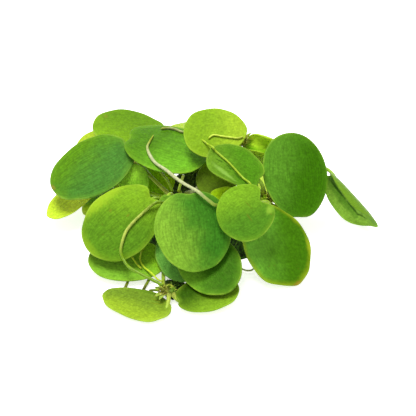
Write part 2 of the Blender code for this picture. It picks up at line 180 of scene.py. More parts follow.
@dataclass
class Leaf:
    """A blade on its stalk, as the solid of the same name is shaped."""

    name: str
    crown: Crown
    centre: tuple  # middle of the blade
    faces: tuple  # compass and elevation of the upper side
    points: float  # compass of the tip
    length: float
    width: float
    cup: float = 0.0  # rise of the rim above the middle
    roll: float = 0.0  # degrees that the blade is rolled up about its midrib
    curl: tuple = ()  # bearing in the blade from the tip, start as a share, bend radius
    taper: float = 0.06
    notch: float = 0.12
    notch_width: float = 0.26
    tip: float = 0.0
    stalk_leaves: tuple = ()  # compass and elevation at which the stalk leaves the crown
    stalk_drop: float = 0.5
    waver: float = 0.007  # how far the outline wavers, as a share of the blade's half size
    seed: int = 0

    def axes(self):
        """Columns: across, along to the tip, and out of the upper side."""
        up = compass(*self.faces)
        heading = compass(self.points)
        along = heading - np.array((0, 0, heading.dot(up) / up[2]))
        along = along / np.linalg.norm(along)
        return np.stack((np.cross(along, up), along, up), axis=1)

    def surface(self, a, b):
        """The upper side at a (across) and b (towards the tip) of the unit disc."""
        base_pull = np.maximum(0, -b) ** 2 * np.exp(-((a / self.notch_width) ** 2))
        tip_pull = np.maximum(0, b) ** 2 * np.exp(-((a / TIP_WIDTH) ** 2))
        half_width, half_length = self.width / 2, self.length / 2
        reach, turn = a * a + b * b, np.arctan2(a, b)
        wave = np.sin(5 * turn + 1.9 * self.seed) + 0.6 * np.sin(9 * turn + 3.1 * self.seed)
        outline = 1 + self.waver * reach * wave
        across = a * outline * half_width * (1 + self.taper * b)
        along = half_length * (b * outline + self.notch * base_pull + self.tip * tip_pull)
        up = np.zeros_like(across)
        if self.roll:
            radius = half_width / math.radians(self.roll / 2)
            angle = across / radius
            across, up = radius * np.sin(angle), radius * (1 - np.cos(angle))
        up = up + self.cup * reach + self.unevenness(a, b, reach)
        if self.curl:
            bearing, start, radius = self.curl
            toward = (math.sin(math.radians(bearing)), math.cos(math.radians(bearing)))
            past = across * toward[0] + along * toward[1] - start * half_length
            bend = np.maximum(past, 0) / radius
            shift = np.where(past > 0, radius * np.sin(bend) - past, 0)
            up = up + radius * (1 - np.cos(bend))
            across, along = across + shift * toward[0], along + shift * toward[1]
        return np.stack((across, along, up), -1)

    def unevenness(self, a, b, reach):
        """Slow swells of the blade, furrows and a slight waver of its rim, under 0.3 mm."""
        turn = np.arctan2(a, b)
        waver = RIM_WAVER * (np.sin(5 * turn + self.seed) + 0.7 * np.sin(8 * turn + 2.3 * self.seed))
        swell = SWELL * np.sin(3.1 * a + 1.7 * self.seed) * np.cos(2.7 * b + 0.9 * self.seed)
        arching = a / np.sqrt(np.maximum(1 - b * b, 0.03)) * RIBS
        off_rib = np.abs(arching - np.round(arching))
        groove = -RIB_DEPTH * np.exp(-((off_rib / 0.2) ** 2)) * (1 - np.minimum(reach, 1) ** 3)
        return waver * np.minimum(reach, 1.1) ** 3 + swell + groove

    def place(self, a, b, depth):
        """A point at a depth under the upper side (above it where the depth is negative)."""
        a, b = np.asarray(a, float), np.asarray(b, float)
        step = 0.01
        here = self.surface(a, b)
        normal = unit(np.cross(self.surface(a + step, b) - here, self.surface(a, b + step) - here))
        local = here - normal * np.asarray(depth)[..., None]
        return local @ self.axes().T + np.array(self.centre)

    def stalk(self):
        """The stalk's route, from its crown to a little way inside the blade's base."""
        axes = self.axes()
        end = self.place(0.0, -1 + STALK_INSET, BLADE_THICKNESS / 2)
        arrives = unit(axes[:, 1] + axes[:, 2] * self.stalk_drop)
        middle = np.array(self.crown.centre)
        reach = np.linalg.norm(end - middle) * 0.4
        before = end - arrives * reach
        leaves = compass(*self.stalk_leaves) if self.stalk_leaves else unit(before - middle)
        start = middle + leaves * (self.crown.radius + CLEARANCE)
        route = bezier(start, start + leaves * reach * 0.6, before, end, STALK_STEPS)
        return np.vstack((middle + leaves * self.crown.radius * 0.8, route))


class Skin:
    """A material, and the nodes that give its colour and relief."""

    def __init__(self, name, roughness, specular):
        self.material = bpy.data.materials.new(name)
        self.material.use_nodes = True
        self.tree = self.material.node_tree
        self.shader = self.tree.nodes["Principled BSDF"]
        self.shader.inputs["Roughness"].default_value = roughness
        self.shader.inputs["Specular IOR Level"].default_value = specular

    def node(self, kind, feeds, out=0, **settings):
        made = self.tree.nodes.new("ShaderNode" + kind)
        for key, value in settings.items():
            setattr(made, key, value)
        for key, value in feeds.items():
            self.feed(made.inputs[key], value)
        return made.outputs[out]

    def feed(self, socket, value):
        if isinstance(value, bpy.types.NodeSocket):
            self.tree.links.new(value, socket)
        else:
            socket.default_value = value

    def calculate(self, operation, *values):
        return self.node("Math", dict(enumerate(values)), operation=operation)

    def plus(self, first, second):
        return self.calculate("ADD", first, second)

    def times(self, first, second):
        return self.calculate("MULTIPLY", first, second)

    def toward(self, a, b, direction):
        """How far the place (a, b) lies in a direction."""
        return self.plus(self.times(a, direction[0]), self.times(b, direction[1]))

    def distance(self, a, b):
        """How far the place (a, b) is from (0, 0)."""
        return self.calculate("SQRT", self.plus(self.times(a, a), self.times(b, b)))

    def mark(self):
        """The three numbers that the mesh carries at each point."""
        parts = self.tree.nodes.new("ShaderNodeSeparateXYZ")
        self.feed(parts.inputs[0], self.node("Attribute", {}, "Vector", attribute_name="mark"))
        return parts.outputs

    def position(self):
        return self.node("TexCoord", {}, "Object")

    def noise(self, per_mm, detail=2.0):
        """Cloudy noise with so many repeats to a millimetre."""
        return self.node("TexNoise", {"Vector": self.position(), "Scale": per_mm / MM, "Detail": detail})

    def cells(self, per_mm):
        """Round cells, so many to a millimetre: the distance from the middle of each."""
        return self.node("TexVoronoi", {"Vector": self.position(), "Scale": per_mm / MM})

    def streaks(self, places, counts, detail):
        """Noise drawn out into streaks: its repeats along two of three places."""
        stretched = {0: self.times(places[0], counts[0]), 1: self.times(places[1], counts[1]), 2: places[2]}
        return self.node("TexNoise", {"Vector": self.node("CombineXYZ", stretched), "Scale": 1.0,
                                      "Detail": detail})

    def ramp(self, value, low, high, to_low=0.0, to_high=1.0):
        """A smooth step from to_low, under low, to to_high, over high."""
        feeds = {"Value": value, "From Min": low, "From Max": high, "To Min": to_low, "To Max": to_high}
        return self.node("MapRange", feeds, interpolation_type="SMOOTHSTEP")

    def mix(self, share, first, second, blend="MIX"):
        made = self.tree.nodes.new("ShaderNodeMix")
        made.data_type, made.blend_type = "RGBA", blend
        for socket, value in ((made.inputs[0], share), (made.inputs[6], first), (made.inputs[7], second)):
            self.feed(socket, value)
        return made.outputs[2]

    def shaded(self, colour, shade):
        """A colour made darker or lighter by a shade, where 1 leaves it as it is."""
        grey = self.node("CombineColor", {0: shade, 1: shade, 2: shade})
        return self.mix(1.0, colour, grey, "MULTIPLY")

    def colour(self, value):
        self.feed(self.shader.inputs["Base Color"], value)

    def roughness(self, value):
        self.feed(self.shader.inputs["Roughness"], value)

    def relief(self, height, distance):
        feeds = {"Height": height, "Distance": distance * MM, "Strength": 1.0}
        self.feed(self.shader.inputs["Normal"], self.node("Bump", feeds))


UNDERSIDE = (128, 156, 44)
# RIM_HIGHLIGHT is a painted highlight for the rounded rims of the blades.
RIM_HIGHLIGHT = (168, 194, 66)
SPECK_BROWN = (92, 74, 22)
BLADE_ROUGHNESS = 0.42
VEIN_STREAKS = (24.0, 2.6)  # repeats across the blade and along it
CROSS_STREAKS = (6.0, 16.0)


def leaf_skin(name, body, second, toward, margin, margin_width=0.10, margin_share=0.3, pebbly=0.0,
              specks=0.0, back=UNDERSIDE, veins=0.5, blots=()):
    """The skin of a blade: two greens that pass into each other across it, partly the leaf's own tone
    and partly painted light and shade, a paler margin, a painted highlight along the rim, arching veins
    with fine streaks between them, blots (place, half sizes, turn, colour, share), some of them painted
    shadows and some painted light, and the pebbled sponge of the underside."""
    skin = Skin(name + "_skin", BLADE_ROUGHNESS, specular=0.14)
    skin.shader.inputs["Specular Tint"].default_value = linear((190, 235, 90))
    a, b, side = skin.mark()
    swell = skin.plus(skin.noise(0.16, 2.5), -0.5)
    # The two greens carry painted light and shade as well as the leaf's own tone: darker where other leaves
    # shade the blade, lighter where the lamp falls.
    lean = skin.plus(skin.toward(a, b, toward), skin.times(swell, 0.7))
    green = skin.mix(skin.ramp(lean, -0.45, 0.85), linear(body), linear(second))

    # fine veins arch from base to tip: arching runs from -1 to 1 across the blade, the same along one vein
    spread = skin.calculate("SUBTRACT", 1.0, skin.times(b, b))
    spread = skin.calculate("SQRT", skin.calculate("MAXIMUM", spread, 0.03))
    arching = skin.calculate("DIVIDE", a, spread)
    streak = skin.streaks((arching, b, side), VEIN_STREAKS, 3.5)
    cross = skin.streaks((arching, b, side), CROSS_STREAKS, 2.0)
    grain, patch = skin.noise(1.3), skin.noise(0.55, 3.0)
    cells, small_cells = skin.cells(0.95), skin.cells(2.3)

    shade = skin.ramp(streak, 0.3, 0.7, 1 - 0.20 * veins, 1 + 0.20 * veins)
    for fleck, swing in ((cross, 0.10 * veins), (grain, 0.12), (patch, 0.08)):
        shade = skin.times(shade, skin.ramp(fleck, 0.32, 0.68, 1 - swing, 1 + swing))
    shade = skin.times(shade, skin.ramp(cells, 0.0, 0.75, 1 + 0.13 * pebbly, 1 - 0.22 * pebbly))
    green = skin.shaded(green, shade)

    reach = skin.distance(a, b)
    edge = skin.ramp(skin.plus(reach, skin.times(swell, 0.2)), 1 - 2 * margin_width, 1.02)
    green = skin.mix(skin.times(edge, margin_share), green, linear(margin))
    if specks:
        where = skin.ramp(skin.noise(0.11, 1.0), 0.5, 0.62)
        fleck = skin.times(skin.ramp(skin.cells(0.42), 0.06, 0.17, 1.0, 0.0), where)
        green = skin.mix(skin.times(fleck, specks), green, linear(SPECK_BROWN))
    ragged = skin.times(skin.plus(patch, -0.5), 0.9)
    for at, (half_width, half_length), turn, colour, share in blots:
        off_a, off_b = skin.plus(a, -at[0]), skin.plus(b, -at[1])
        cosine, sine = math.cos(math.radians(turn)), math.sin(math.radians(turn))
        aside = skin.times(skin.toward(off_a, off_b, (cosine, -sine)), 1 / half_width)
        along = skin.times(skin.toward(off_a, off_b, (sine, cosine)), 1 / half_length)
        far = skin.plus(skin.distance(aside, along), ragged)
        green = skin.mix(skin.ramp(far, 0.3, 1.1, share, 0.0), green, linear(colour))
    # A painted highlight: a thin pale line along the rim, where it catches the light, broken up by the swell.
    rim = skin.times(skin.ramp(reach, 0.96, 1.0), skin.ramp(swell, -0.12, 0.16, 0.02, 0.25))
    green = skin.mix(rim, green, linear(RIM_HIGHLIGHT))

    pale = skin.mix(skin.ramp(small_cells, 0.05, 0.6), linear(back), linear([c * 0.86 for c in back]))
    skin.colour(skin.mix(skin.ramp(side, -0.5, 0.1), pale, green))
    skin.roughness(skin.ramp(skin.noise(0.5), 0.3, 0.7, BLADE_ROUGHNESS - 0.07, BLADE_ROUGHNESS + 0.08))
    height = skin.times(streak, 0.5 * veins)
    for bump, share in ((cells, -0.9 * pebbly), (grain, 0.4), (small_cells, -0.3)):
        height = skin.plus(height, skin.times(bump, share))
    skin.relief(height, 0.2)
    return skin.material


def stalk_skin(name, base, upper):
    """Juicy stalk: pale and brownish where it leaves the crown, greener towards the blade, with
    fine lengthwise lines."""
    skin = Skin(name, 0.38, specular=0.2)
    along, _, _ = skin.mark()
    lines = skin.noise(0.9, 3.0)
    rise = skin.ramp(skin.plus(along, skin.times(lines, 0.25)), 0.1, 0.8)
    colour = skin.mix(rise, linear(base), linear(upper))
    skin.colour(skin.shaded(colour, skin.ramp(lines, 0.3, 0.7, 0.78, 1.1)))
    skin.relief(lines, 0.12)
    return skin.material


olive_stalk = stalk_skin("olive_stalk", (158, 170, 54), (134, 170, 38))
pale_stalk = stalk_skin("pale_stalk", (166, 178, 70), (144, 176, 48))


def grow_blade(growth, leaf, spokes, rings):
    """The blade: upper side, rounded rim and underside in one skin."""
    share = 1 - (1 - np.linspace(0, 1, rings + 1)[1:]) ** 1.35
    thick = BLADE_THICKNESS * (RIM_SHARE + (1 - RIM_SHARE) * (1 - share**4))
    bulge = 2 * RIM_BULGE / leaf.width
    rim = BLADE_THICKNESS * RIM_SHARE
    # how far out from the middle, how deep under the upper side, and which side it counts as
    rows = [(r, 0.0, 1.0) for r in share]
    rows += [(1 + 0.7 * bulge, 0.16 * rim, 0.6), (1 + bulge, 0.5 * rim, 0.0),
             (1 + 0.7 * bulge, 0.84 * rim, -0.6)]
    rows += [(r, depth, -1.0) for r, depth in zip(share[::-1], thick[::-1])]
    across, along = np.sin(around(spokes)), np.cos(around(spokes))
    points = [leaf.place(np.zeros(1), np.zeros(1), 0.0)]
    marks = [np.array([(0, 0, 1.0)])]
    for reach, depth, side in rows:
        points.append(leaf.place(across * reach, along * reach, np.full(spokes, depth)))
        marks.append(np.stack((across * reach, along * reach, np.full(spokes, side)), -1))
    points.append(leaf.place(np.zeros(1), np.zeros(1), np.full(1, BLADE_THICKNESS)))
    marks.append(np.array([(0, 0, -1.0)]))
    last = 1 + len(rows) * spokes
    faces = fan_faces(0, 1, spokes) + ring_faces(len(rows), spokes, 1)
    faces += fan_faces(last, last - spokes, spokes, closing=True)
    growth.add(np.vstack(points), faces, np.vstack(marks))


def grow_leaf(leaf, slot, *greens, stalk=olive_stalk, **finish):
    """A leaf in its two greens, the way from one to the other, and the green of its margin."""
    short_name = leaf.name.replace("leaf_", "")
    skin = leaf_skin(short_name, *greens, **finish)
    spokes, rings = (108, 26) if leaf.length > LARGE_BLADE else (72, 16)
    growth = Growth()
    grow_blade(growth, leaf, spokes, rings)
    route = leaf.stalk()
    along = np.linspace(0, 1, len(route))
    radii = STALK_RADIUS * (1 + 0.28 * np.exp(-((along / 0.10) ** 2)) - 0.14 * along)
    tube(growth, route, radii, TUBE_SIDES, finish=1)
    growth.piece(short_name + "_leaf", leaf.name, [skin, stalk])


def crown_skin(name, dark, light, stain, grain=0.8, roughness=0.5):
    """Fibrous crown or papery sheath: dark and light fibres, and a stain of fresh green."""
    skin = Skin(name, roughness, specular=0.25)
    fibre = skin.noise(grain, 4.0)
    straw = skin.mix(skin.ramp(fibre, 0.33, 0.67), linear(dark), linear(light))
    skin.colour(skin.mix(skin.ramp(skin.noise(0.28), 0.42, 0.6), straw, linear(stain)))
    skin.relief(fibre, 0.3)
    return skin.material


crown_skins = [crown_skin("crown_fibre", (92, 92, 22), (150, 164, 46), (104, 144, 28)),
               crown_skin("dry_sheath", (112, 104, 28), (180, 188, 76), (128, 156, 38), 1.3, 0.4)]
# Lighter copies of the same two skins: painted light for the crowns that sit in shade between the leaves.
lit_crown_skins = [crown_skin("lit_crown_fibre", (130, 128, 24), (196, 208, 60), (140, 180, 30)),
                   crown_skin("lit_sheath", (150, 134, 34), (216, 222, 96), (158, 196, 40), 1.3, 0.4)]


def grow_stub(growth, crown, seed):
    """The lumpy stub of stem that is the crown itself."""
    spokes, rings = 28, 15
    rise = np.linspace(-math.pi / 2, math.pi / 2, rings + 2)[1:-1]
    rise, bearing = np.meshgrid(rise, around(spokes), indexing="ij")
    ball = np.stack((np.cos(rise) * np.cos(bearing), np.cos(rise) * np.sin(bearing), np.sin(rise)), -1)
    lumps = 0.06 * np.sin(7 * bearing + seed) * np.cos(rise) + 0.05 * np.sin(9 * rise + 2 * bearing)
    points = (ball * (0.86 + lumps)[..., None] * crown.radius).reshape(-1, 3)
    poles = ((0, 0, -0.84 * crown.radius), (0, 0, 0.84 * crown.radius))
    foot = len(points)
    faces = fan_faces(foot, 0, spokes) + ring_faces(rings, spokes)
    faces += fan_faces(foot + 1, foot - spokes, spokes, closing=True)
    growth.add(np.vstack((points, *poles)) + crown.centre, faces)


def grow_sheath(growth, crown, bearing, rise, length, width):
    """A dry sheath that leans out of the crown: a thin bowed sheet, closed all round."""
    rows, columns, thickness = 12, 7, 0.10
    out = compass(bearing, rise)
    aside = unit(np.cross(out, (0, 0, 1)))
    lift = np.cross(aside, out)
    t, s = np.meshgrid(np.linspace(0, 1, rows), np.linspace(-1, 1, columns), indexing="ij")
    half = width * np.sin((t * 0.8 + 0.19) * math.pi) ** 0.8 + 0.04
    bow = 0.5 * half * (s * s) + 0.3 * np.sin(3 * t + bearing) + 0.12 * t * np.sin(5 * s + bearing)
    reach = crown.radius * 0.6 + t * length
    sheet = crown.centre + out * reach[..., None] + aside * (s * half)[..., None] + lift * bow[..., None]
    points = np.vstack((sheet.reshape(-1, 3), (sheet - lift * thickness).reshape(-1, 3)))
    number = np.arange(rows * columns).reshape(rows, columns)
    faces = []
    for i in range(rows - 1):
        for j in range(columns - 1):
            quad = (number[i, j], number[i, j + 1], number[i + 1, j + 1], number[i + 1, j])
            faces += [quad, tuple(rows * columns + q for q in quad[::-1])]
    border = [*number[:, 0], *number[-1, 1:], *number[-2::-1, -1], *number[0, -2:0:-1]]
    for p, q in zip(border, border[1:] + border[:1]):
        faces.append((p, q, q + rows * columns, p + rows * columns))
    growth.add(points, faces, finish=1)


def grow_crown(crown, sheaths, hairs, seed, skins=crown_skins):
    """A stub of stem, a few papery sheaths (bearing, rise, length, width) and short hairs."""
    rng = np.random.default_rng(seed)
    growth = Growth()
    grow_stub(growth, crown, seed)
    for sheath in sheaths:
        grow_sheath(growth, crown, *sheath)
    hair_radii = np.linspace(0.13, 0.03, 5)
    t = np.linspace(0, 1, len(hair_radii))[:, None]
    for _ in range(hairs):
        out = unit(rng.normal(size=3))
        start = crown.centre + out * crown.radius * 0.8
        bend = rng.normal(size=3) * 0.4
        reach = rng.uniform(0.6, 1.4)
        tube(growth, start + out * reach * t + bend * t * t, hair_radii, 4)
    growth.piece(crown.name.replace("crown_", "") + "_crown", crown.name, skins)


front_crown = Crown("crown_front", (-14.8, -34.0, 5.4), 2.2)
grow_crown(front_crown, [(256, -8, 4.6, 0.8), (236, -4, 4.0, 0.7), (280, 6, 4.4, 0.7), (300, 30, 3.2, 0.8),
                         (300, -12, 5.2, 1.0), (320, -16, 5.0, 0.9), (20, 50, 3.0, 0.9), (340, 60, 3.2, 0.8),
                         (110, -20, 2.2, 0.6)], 60, 1)
front_left = Leaf("leaf_front_left", front_crown, (-27.5, -38.4, 2.3), (0, 88), 247, 27.5, 15.8,
                  taper=-0.15, notch=0.0, waver=0.02, seed=3)
front_low = Leaf("leaf_front_low", front_crown, (-0.5, -34.6, 3.2), (350, 80), 106, 25, 17, cup=0.8, seed=2)
under_left = Leaf("leaf_under_left", front_crown, (-31.3, -16.6, 5.5), (0, 76), 268, 31, 20.2,
                  stalk_leaves=(220, -25), seed=3)
# Two olive streaks near the base, and a painted shadow along one edge, where the crown and roots above shade
# the blade.
base_streaks_and_shadow = [((0.30, -0.55), (0.04, 0.30), -12, (112, 122, 16), 0.5),
              ((0.50, -0.50), (0.04, 0.30), 14, (118, 126, 18), 0.5),
              ((0.88, 0.0), (0.12, 0.60), 0, (84, 122, 20), 0.5)]
grow_leaf(front_left, "leaf_lime", (96, 124, 30), (132, 160, 33), (-1.0, 0.0), (140, 168, 48),
          pebbly=0.5, specks=0.5, veins=0.6, blots=base_streaks_and_shadow, stalk=pale_stalk)
# Very dark on one side: painted shadow where the leaves above it shade the blade.
grow_leaf(front_low, "leaf_lime", (37, 70, 3), (104, 140, 27), (1.0, 0.3), (120, 156, 34),
          pebbly=0.3, stalk=pale_stalk)
grow_leaf(under_left, "leaf_green", (102, 150, 36), (120, 172, 27), (0.6, -0.8), (118, 156, 36),
          pebbly=0.3, veins=0.6)


# The middle rosette, the largest, sits hidden under its own leaves. Six blades fan out from it,
# from the pair low at the front to the big one at the back, and two smaller ones show in the
# gap between them.

centre_crown = Crown("crown_centre", (-12.0, 10.0, 13.0), 3.6)
grow_crown(centre_crown, [(330, 60, 3.4, 1.1), (40, 65, 3.0, 1.0), (260, 50, 3.2, 1.1), (150, 60, 3.0, 1.0),
                          (0, 40, 3.6, 1.0)], 60, 2)
front_right = Leaf("leaf_front_right", centre_crown, (-0.4, -23.6, 10.8), (335, 62), 38, 32, 22.6,
                   stalk_leaves=(38, 25), stalk_drop=0.0, seed=4)
front_blue = Leaf("leaf_front_blue", centre_crown, (-10.9, -17.7, 8.7), (345, 64), 30, 23.5, 18.5, seed=5)
centre_leaf = Leaf("leaf_centre", centre_crown, (-5.3, -20.0, 23.2), (12, 48), 10, 32, 29.6, cup=-1.5,
                   taper=-0.05, stalk_drop=1.5, seed=6)
left_front = Leaf("leaf_left_front", centre_crown, (-33.75, -10.6, 20.0), (345, 52), 300, 34.2, 27.5,
                  cup=-1.5, notch=0.14, notch_width=0.2, stalk_leaves=(280, 10), seed=7)
top_left = Leaf("leaf_top_left", centre_crown, (-17.0, 26.3, 30.0), (60, 82), 75, 35, 29.5, cup=-1.5, seed=8)
small_behind = Leaf("leaf_small_behind", centre_crown, (-30.0, 15.1, 20.0), (0, 42), 190, 14, 12, seed=9)
inner_dark = Leaf("leaf_inner_dark", centre_crown, (-22.0, 26.0, 12.0), (0, 50), 170, 18, 16, seed=10)
inner_left = Leaf("leaf_inner_left", centre_crown, (-16.6, 0.5, 18.4), (350, 50), 350, 10, 7, seed=11)
# Darkest where the centre leaf over it shades it: painted shadow.
grow_leaf(front_right, "leaf_deep_green", (40, 84, 9), (98, 150, 34), (0.6, -0.8), (100, 146, 32))
grow_leaf(front_blue, "leaf_deep_green", (86, 144, 54), (128, 184, 74), (-0.9, 0.2), (100, 148, 54),
          margin_share=0.2)
# Darker towards one side: painted shadow where the leaf above shades it.
grow_leaf(centre_leaf, "leaf_green", (47, 100, 22), (106, 145, 41), (1.0, 0.3), (104, 148, 36),
          margin_share=0.25, veins=0.8)
# Painted light along one side edge and across the tip, and two small brown spots that are the leaf's own.
lit_edges_and_brown_spots = [((0.98, 0.05), (0.36, 0.90), 0, (142, 172, 34), 0.6),
                   ((0.05, 0.95), (0.50, 0.14), 0, (132, 164, 32), 0.3),
                   ((0.45, 0.03), (0.05, 0.05), 0, (104, 92, 24), 0.5),
                   ((0.0, -0.20), (0.04, 0.06), 0, (104, 92, 24), 0.5)]
grow_leaf(left_front, "leaf_green", (74, 115, 22), (98, 136, 22), (0.5, -0.9), (142, 172, 34),
          margin_share=0.2, specks=0.35, veins=0.8, blots=lit_edges_and_brown_spots)
grow_leaf(top_left, "leaf_green", (64, 107, 13), (94, 151, 31), (0.5, 0.9), (106, 150, 30), veins=0.8)
grow_leaf(small_behind, "leaf_green", (102, 152, 32), (150, 208, 56), (-0.3, 0.9), (110, 156, 36), veins=0.9)
grow_leaf(inner_dark, "leaf_deep_green", (120, 180, 15), (150, 188, 24), (0.9, 0.3), (140, 180, 24))
grow_leaf(inner_left, "leaf_lime", (91, 134, 30), (105, 168, 54), (-1.0, 0.2), (108, 148, 40),
          stalk=pale_stalk)


# The left rosette: one big bluish blade in front, a pale one behind it and three that show
# only by their edges. Its crown is hidden under the big blade.

left_crown = Crown("crown_left", (-33.0, 32.0, 14.0), 3.4)
grow_crown(left_crown, [(350, 50, 3.2, 1.0), (250, 40, 3.2, 1.0), (100, 50, 3.0, 1.0)], 50, 3)
left_big = Leaf("leaf_left_big", left_crown, (-47.2, 20.0, 24.2), (330, 68), 296, 36.5, 28.0, cup=-1.0,
                taper=-0.04, seed=12)
back_left = Leaf("leaf_back_left", left_crown, (-33.0, 45.0, 26.0), (10, 84), 265, 30, 21,
                 taper=0.28, seed=13)
low_left = Leaf("leaf_low_left", left_crown, (-55.3, 17.0, 10.5), (290, 74), 315, 26, 15, seed=14)
behind_left = Leaf("leaf_behind_left", left_crown, (-45.5, 43.5, 19.5), (300, 76), 300, 21, 17, seed=15)
left_sliver = Leaf("leaf_left_sliver", left_crown, (-46.5, 18.4, 5.5), (300, 70), 320, 12, 10, seed=16)
grow_leaf(left_big, "leaf_deep_green", (52, 100, 32), (70, 112, 10), (0.9, 0.4), (98, 140, 26),
          veins=1.0, blots=[((0.07, 0.97), (0.14, 0.05), 0, (120, 104, 40), 0.7)])
grow_leaf(back_left, "leaf_green", (79, 116, 15), (100, 139, 19), (-0.9, 0.4), (110, 146, 26),
          specks=0.4, blots=[((0.45, 0.70), (0.10, 0.07), 0, (110, 110, 30), 0.5)])
# Much lighter towards its base: painted light against the shade that the big blade above casts there.
grow_leaf(low_left, "leaf_lime", (170, 196, 40), (240, 255, 72), (-0.3, -0.9), (180, 206, 56),
          pebbly=0.3, veins=1.0)
grow_leaf(behind_left, "leaf_lime", (104, 136, 18), (150, 172, 38), (0.5, 0.8), (158, 184, 48), pebbly=0.3)
grow_leaf(left_sliver, "leaf_green", (88, 140, 8), (200, 228, 40), (-0.4, 0.9), (196, 209, 90),
          margin_share=0.8)


# The right rosette: the round deep green blade that stands up at the right, the heart-shaped
# one in front of it, the long one below, and the small one with a curled edge in the middle.
# Its crown shows between them, with pale stalks, straw-coloured sheaths and two white roots.

right_crown = Crown("crown_right", (22.0, 6.0, 17.0), 3.4)
grow_crown(right_crown, [(350, 45, 4.4, 1.2), (30, 60, 4.4, 1.1), (300, 50, 3.6, 1.1), (60, 20, 4.2, 1.2),
                         (10, 25, 4.2, 1.1), (90, 45, 4.0, 1.1), (180, 70, 4.2, 1.2), (330, 20, 3.6, 1.0),
                         (90, -4, 6.5, 1.9), (15, 50, 5.4, 1.0), (345, 15, 4.6, 1.2)], 80, 4, lit_crown_skins)
small_heart = Leaf("leaf_small_heart", right_crown, (14.6, -16.1, 28.8), (0, 46), 298, 22.5, 21.5,
                   notch=0.38, notch_width=0.34, stalk_leaves=(20, 20), stalk_drop=1.4, seed=17)
lower_right = Leaf("leaf_lower_right", right_crown, (26.5, -17.0, 13.2), (20, 46), 42, 33, 25.6, tip=0.06,
                   waver=0.015, seed=18)
right_round = Leaf("leaf_right_round", right_crown, (35.1, 12.4, 25.0), (35, 46), 185, 35, 28.5, notch=0.04,
                   waver=0.002, seed=19)
middle_leaf = Leaf("leaf_middle", right_crown, (10.9, 8.3, 32.6), (5, 60), 247, 24, 17.0,
                   curl=(270, 0.3, 5), seed=20)
inner_right = Leaf("leaf_inner_right", right_crown, (6.1, 6.6, 16.8), (340, 50), 280, 13, 11, seed=21)
heart_marks = [((0.15, -0.22), (0.04, 0.20), 80, (84, 90, 20), 0.55),
               ((-0.22, 0.03), (0.035, 0.22), 90, (96, 98, 26), 0.5),
               ((-0.45, -0.72), (0.25, 0.15), 60, (146, 184, 58), 0.45)]
tip_marks = [((0.0, 1.0), (0.20, 0.08), 0, (126, 98, 30), 0.8),
             ((-0.84, 0.5), (0.08, 0.50), 18, (150, 160, 34), 0.4)]
# Three painted shadows along the curled fold, and a paler band on the curled-over edge.
fold_shadows_and_pale_band = [((-0.11, 0.55), (0.05, 0.20), -3, (30, 70, 4), 0.7),
              ((-0.18, 0.19), (0.05, 0.26), 24, (30, 70, 4), 0.7),
              ((-0.42, -0.21), (0.05, 0.30), 35, (30, 70, 4), 0.7),
              ((-0.55, 0.22), (0.12, 0.60), 22, (140, 180, 80), 0.45)]
grow_leaf(small_heart, "leaf_green", (67, 112, 24), (103, 145, 29), (1.0, -0.2), (108, 146, 32),
          specks=0.5, veins=0.6, blots=heart_marks, stalk=pale_stalk)
grow_leaf(lower_right, "leaf_green", (53, 97, 7), (95, 152, 44), (0.8, -0.6), (130, 146, 22),
          margin_width=0.07, margin_share=0.6, specks=0.4, blots=tip_marks, stalk=pale_stalk)
grow_leaf(right_round, "leaf_deep_green", (46, 92, 3), (75, 122, 30), (-1.0, 0.3), (80, 128, 26), veins=0.7)
grow_leaf(middle_leaf, "leaf_green", (62, 111, 13), (84, 121, 26), (-0.6, 0.8), (104, 140, 36),
          veins=0.7, blots=fold_shadows_and_pale_band)
grow_leaf(inner_right, "leaf_lime", (160, 202, 18), (206, 232, 34), (-1.0, 0.1), (160, 192, 50))


# The small rosette lying on top of the others: a pale pebbled blade, one rolled into a tube,
# and three more below and behind.

top_crown = Crown("crown_top", (13.8, 28.3, 30.5), 1.8)
grow_crown(top_crown, [(340, 50, 3.0, 0.9), (85, 50, 4.5, 1.2), (290, 40, 3.4, 0.8), (150, 70, 3.5, 1.3),
                       (95, 10, 4.5, 1.3), (30, 10, 2.6, 0.8)], 40, 5, lit_crown_skins)
top_centre = Leaf("leaf_top_centre", top_crown, (2.9, 25.0, 37.3), (0, 64), 278, 25.2, 22, taper=0.13,
                  notch=0.0, seed=22)
rolled = Leaf("leaf_rolled", top_crown, (22.2, 25.9, 28.9), (0, 50), 74, 14.5, 13, roll=230,
              stalk_leaves=(80, 5), seed=23)
behind_round = Leaf("leaf_behind_round", top_crown, (26.2, 18.8, 20.4), (20, 50), 75, 25, 19, taper=0.2,
                    stalk_leaves=(62, -50), seed=24)
under_middle = Leaf("leaf_under_middle", top_crown, (4.6, 16.3, 22.2), (350, 50), 300, 20, 15.5,
                    stalk_leaves=(320, -40), seed=25)
top_behind = Leaf("leaf_top_behind", top_crown, (-5.0, 46.0, 24.3), (180, 75), 270, 22, 18, seed=26)
grow_leaf(top_centre, "leaf_lime", (104, 139, 21), (132, 160, 34), (-0.3, -1.0), (128, 164, 34),
          pebbly=0.4, veins=0.3, back=(96, 140, 28))
# Dark green on one side: painted shade for the hollow inside the roll.
grow_leaf(rolled, "leaf_lime", (84, 140, 8), (214, 248, 58), (-1.0, 0.0), (160, 188, 50), back=(166, 204, 44))
# Very pale greens: painted light on a strip that lies in shade between the middle and round leaves.
grow_leaf(behind_round, "leaf_green", (210, 238, 90), (240, 255, 140), (-0.8, 0.5), (150, 186, 60),
          stalk=pale_stalk)
grow_leaf(under_middle, "leaf_deep_green", (82, 106, 22), (150, 204, 16), (0.3, -0.9), (110, 140, 30))
grow_leaf(top_behind, "leaf_lime", (126, 154, 12), (146, 172, 22), (-0.7, 0.7), (150, 176, 40),
          back=(124, 154, 20))


# The back rosette, mostly hidden: one blade folded lengthwise stands out at the far right, and
# two prop up the back of the heap.

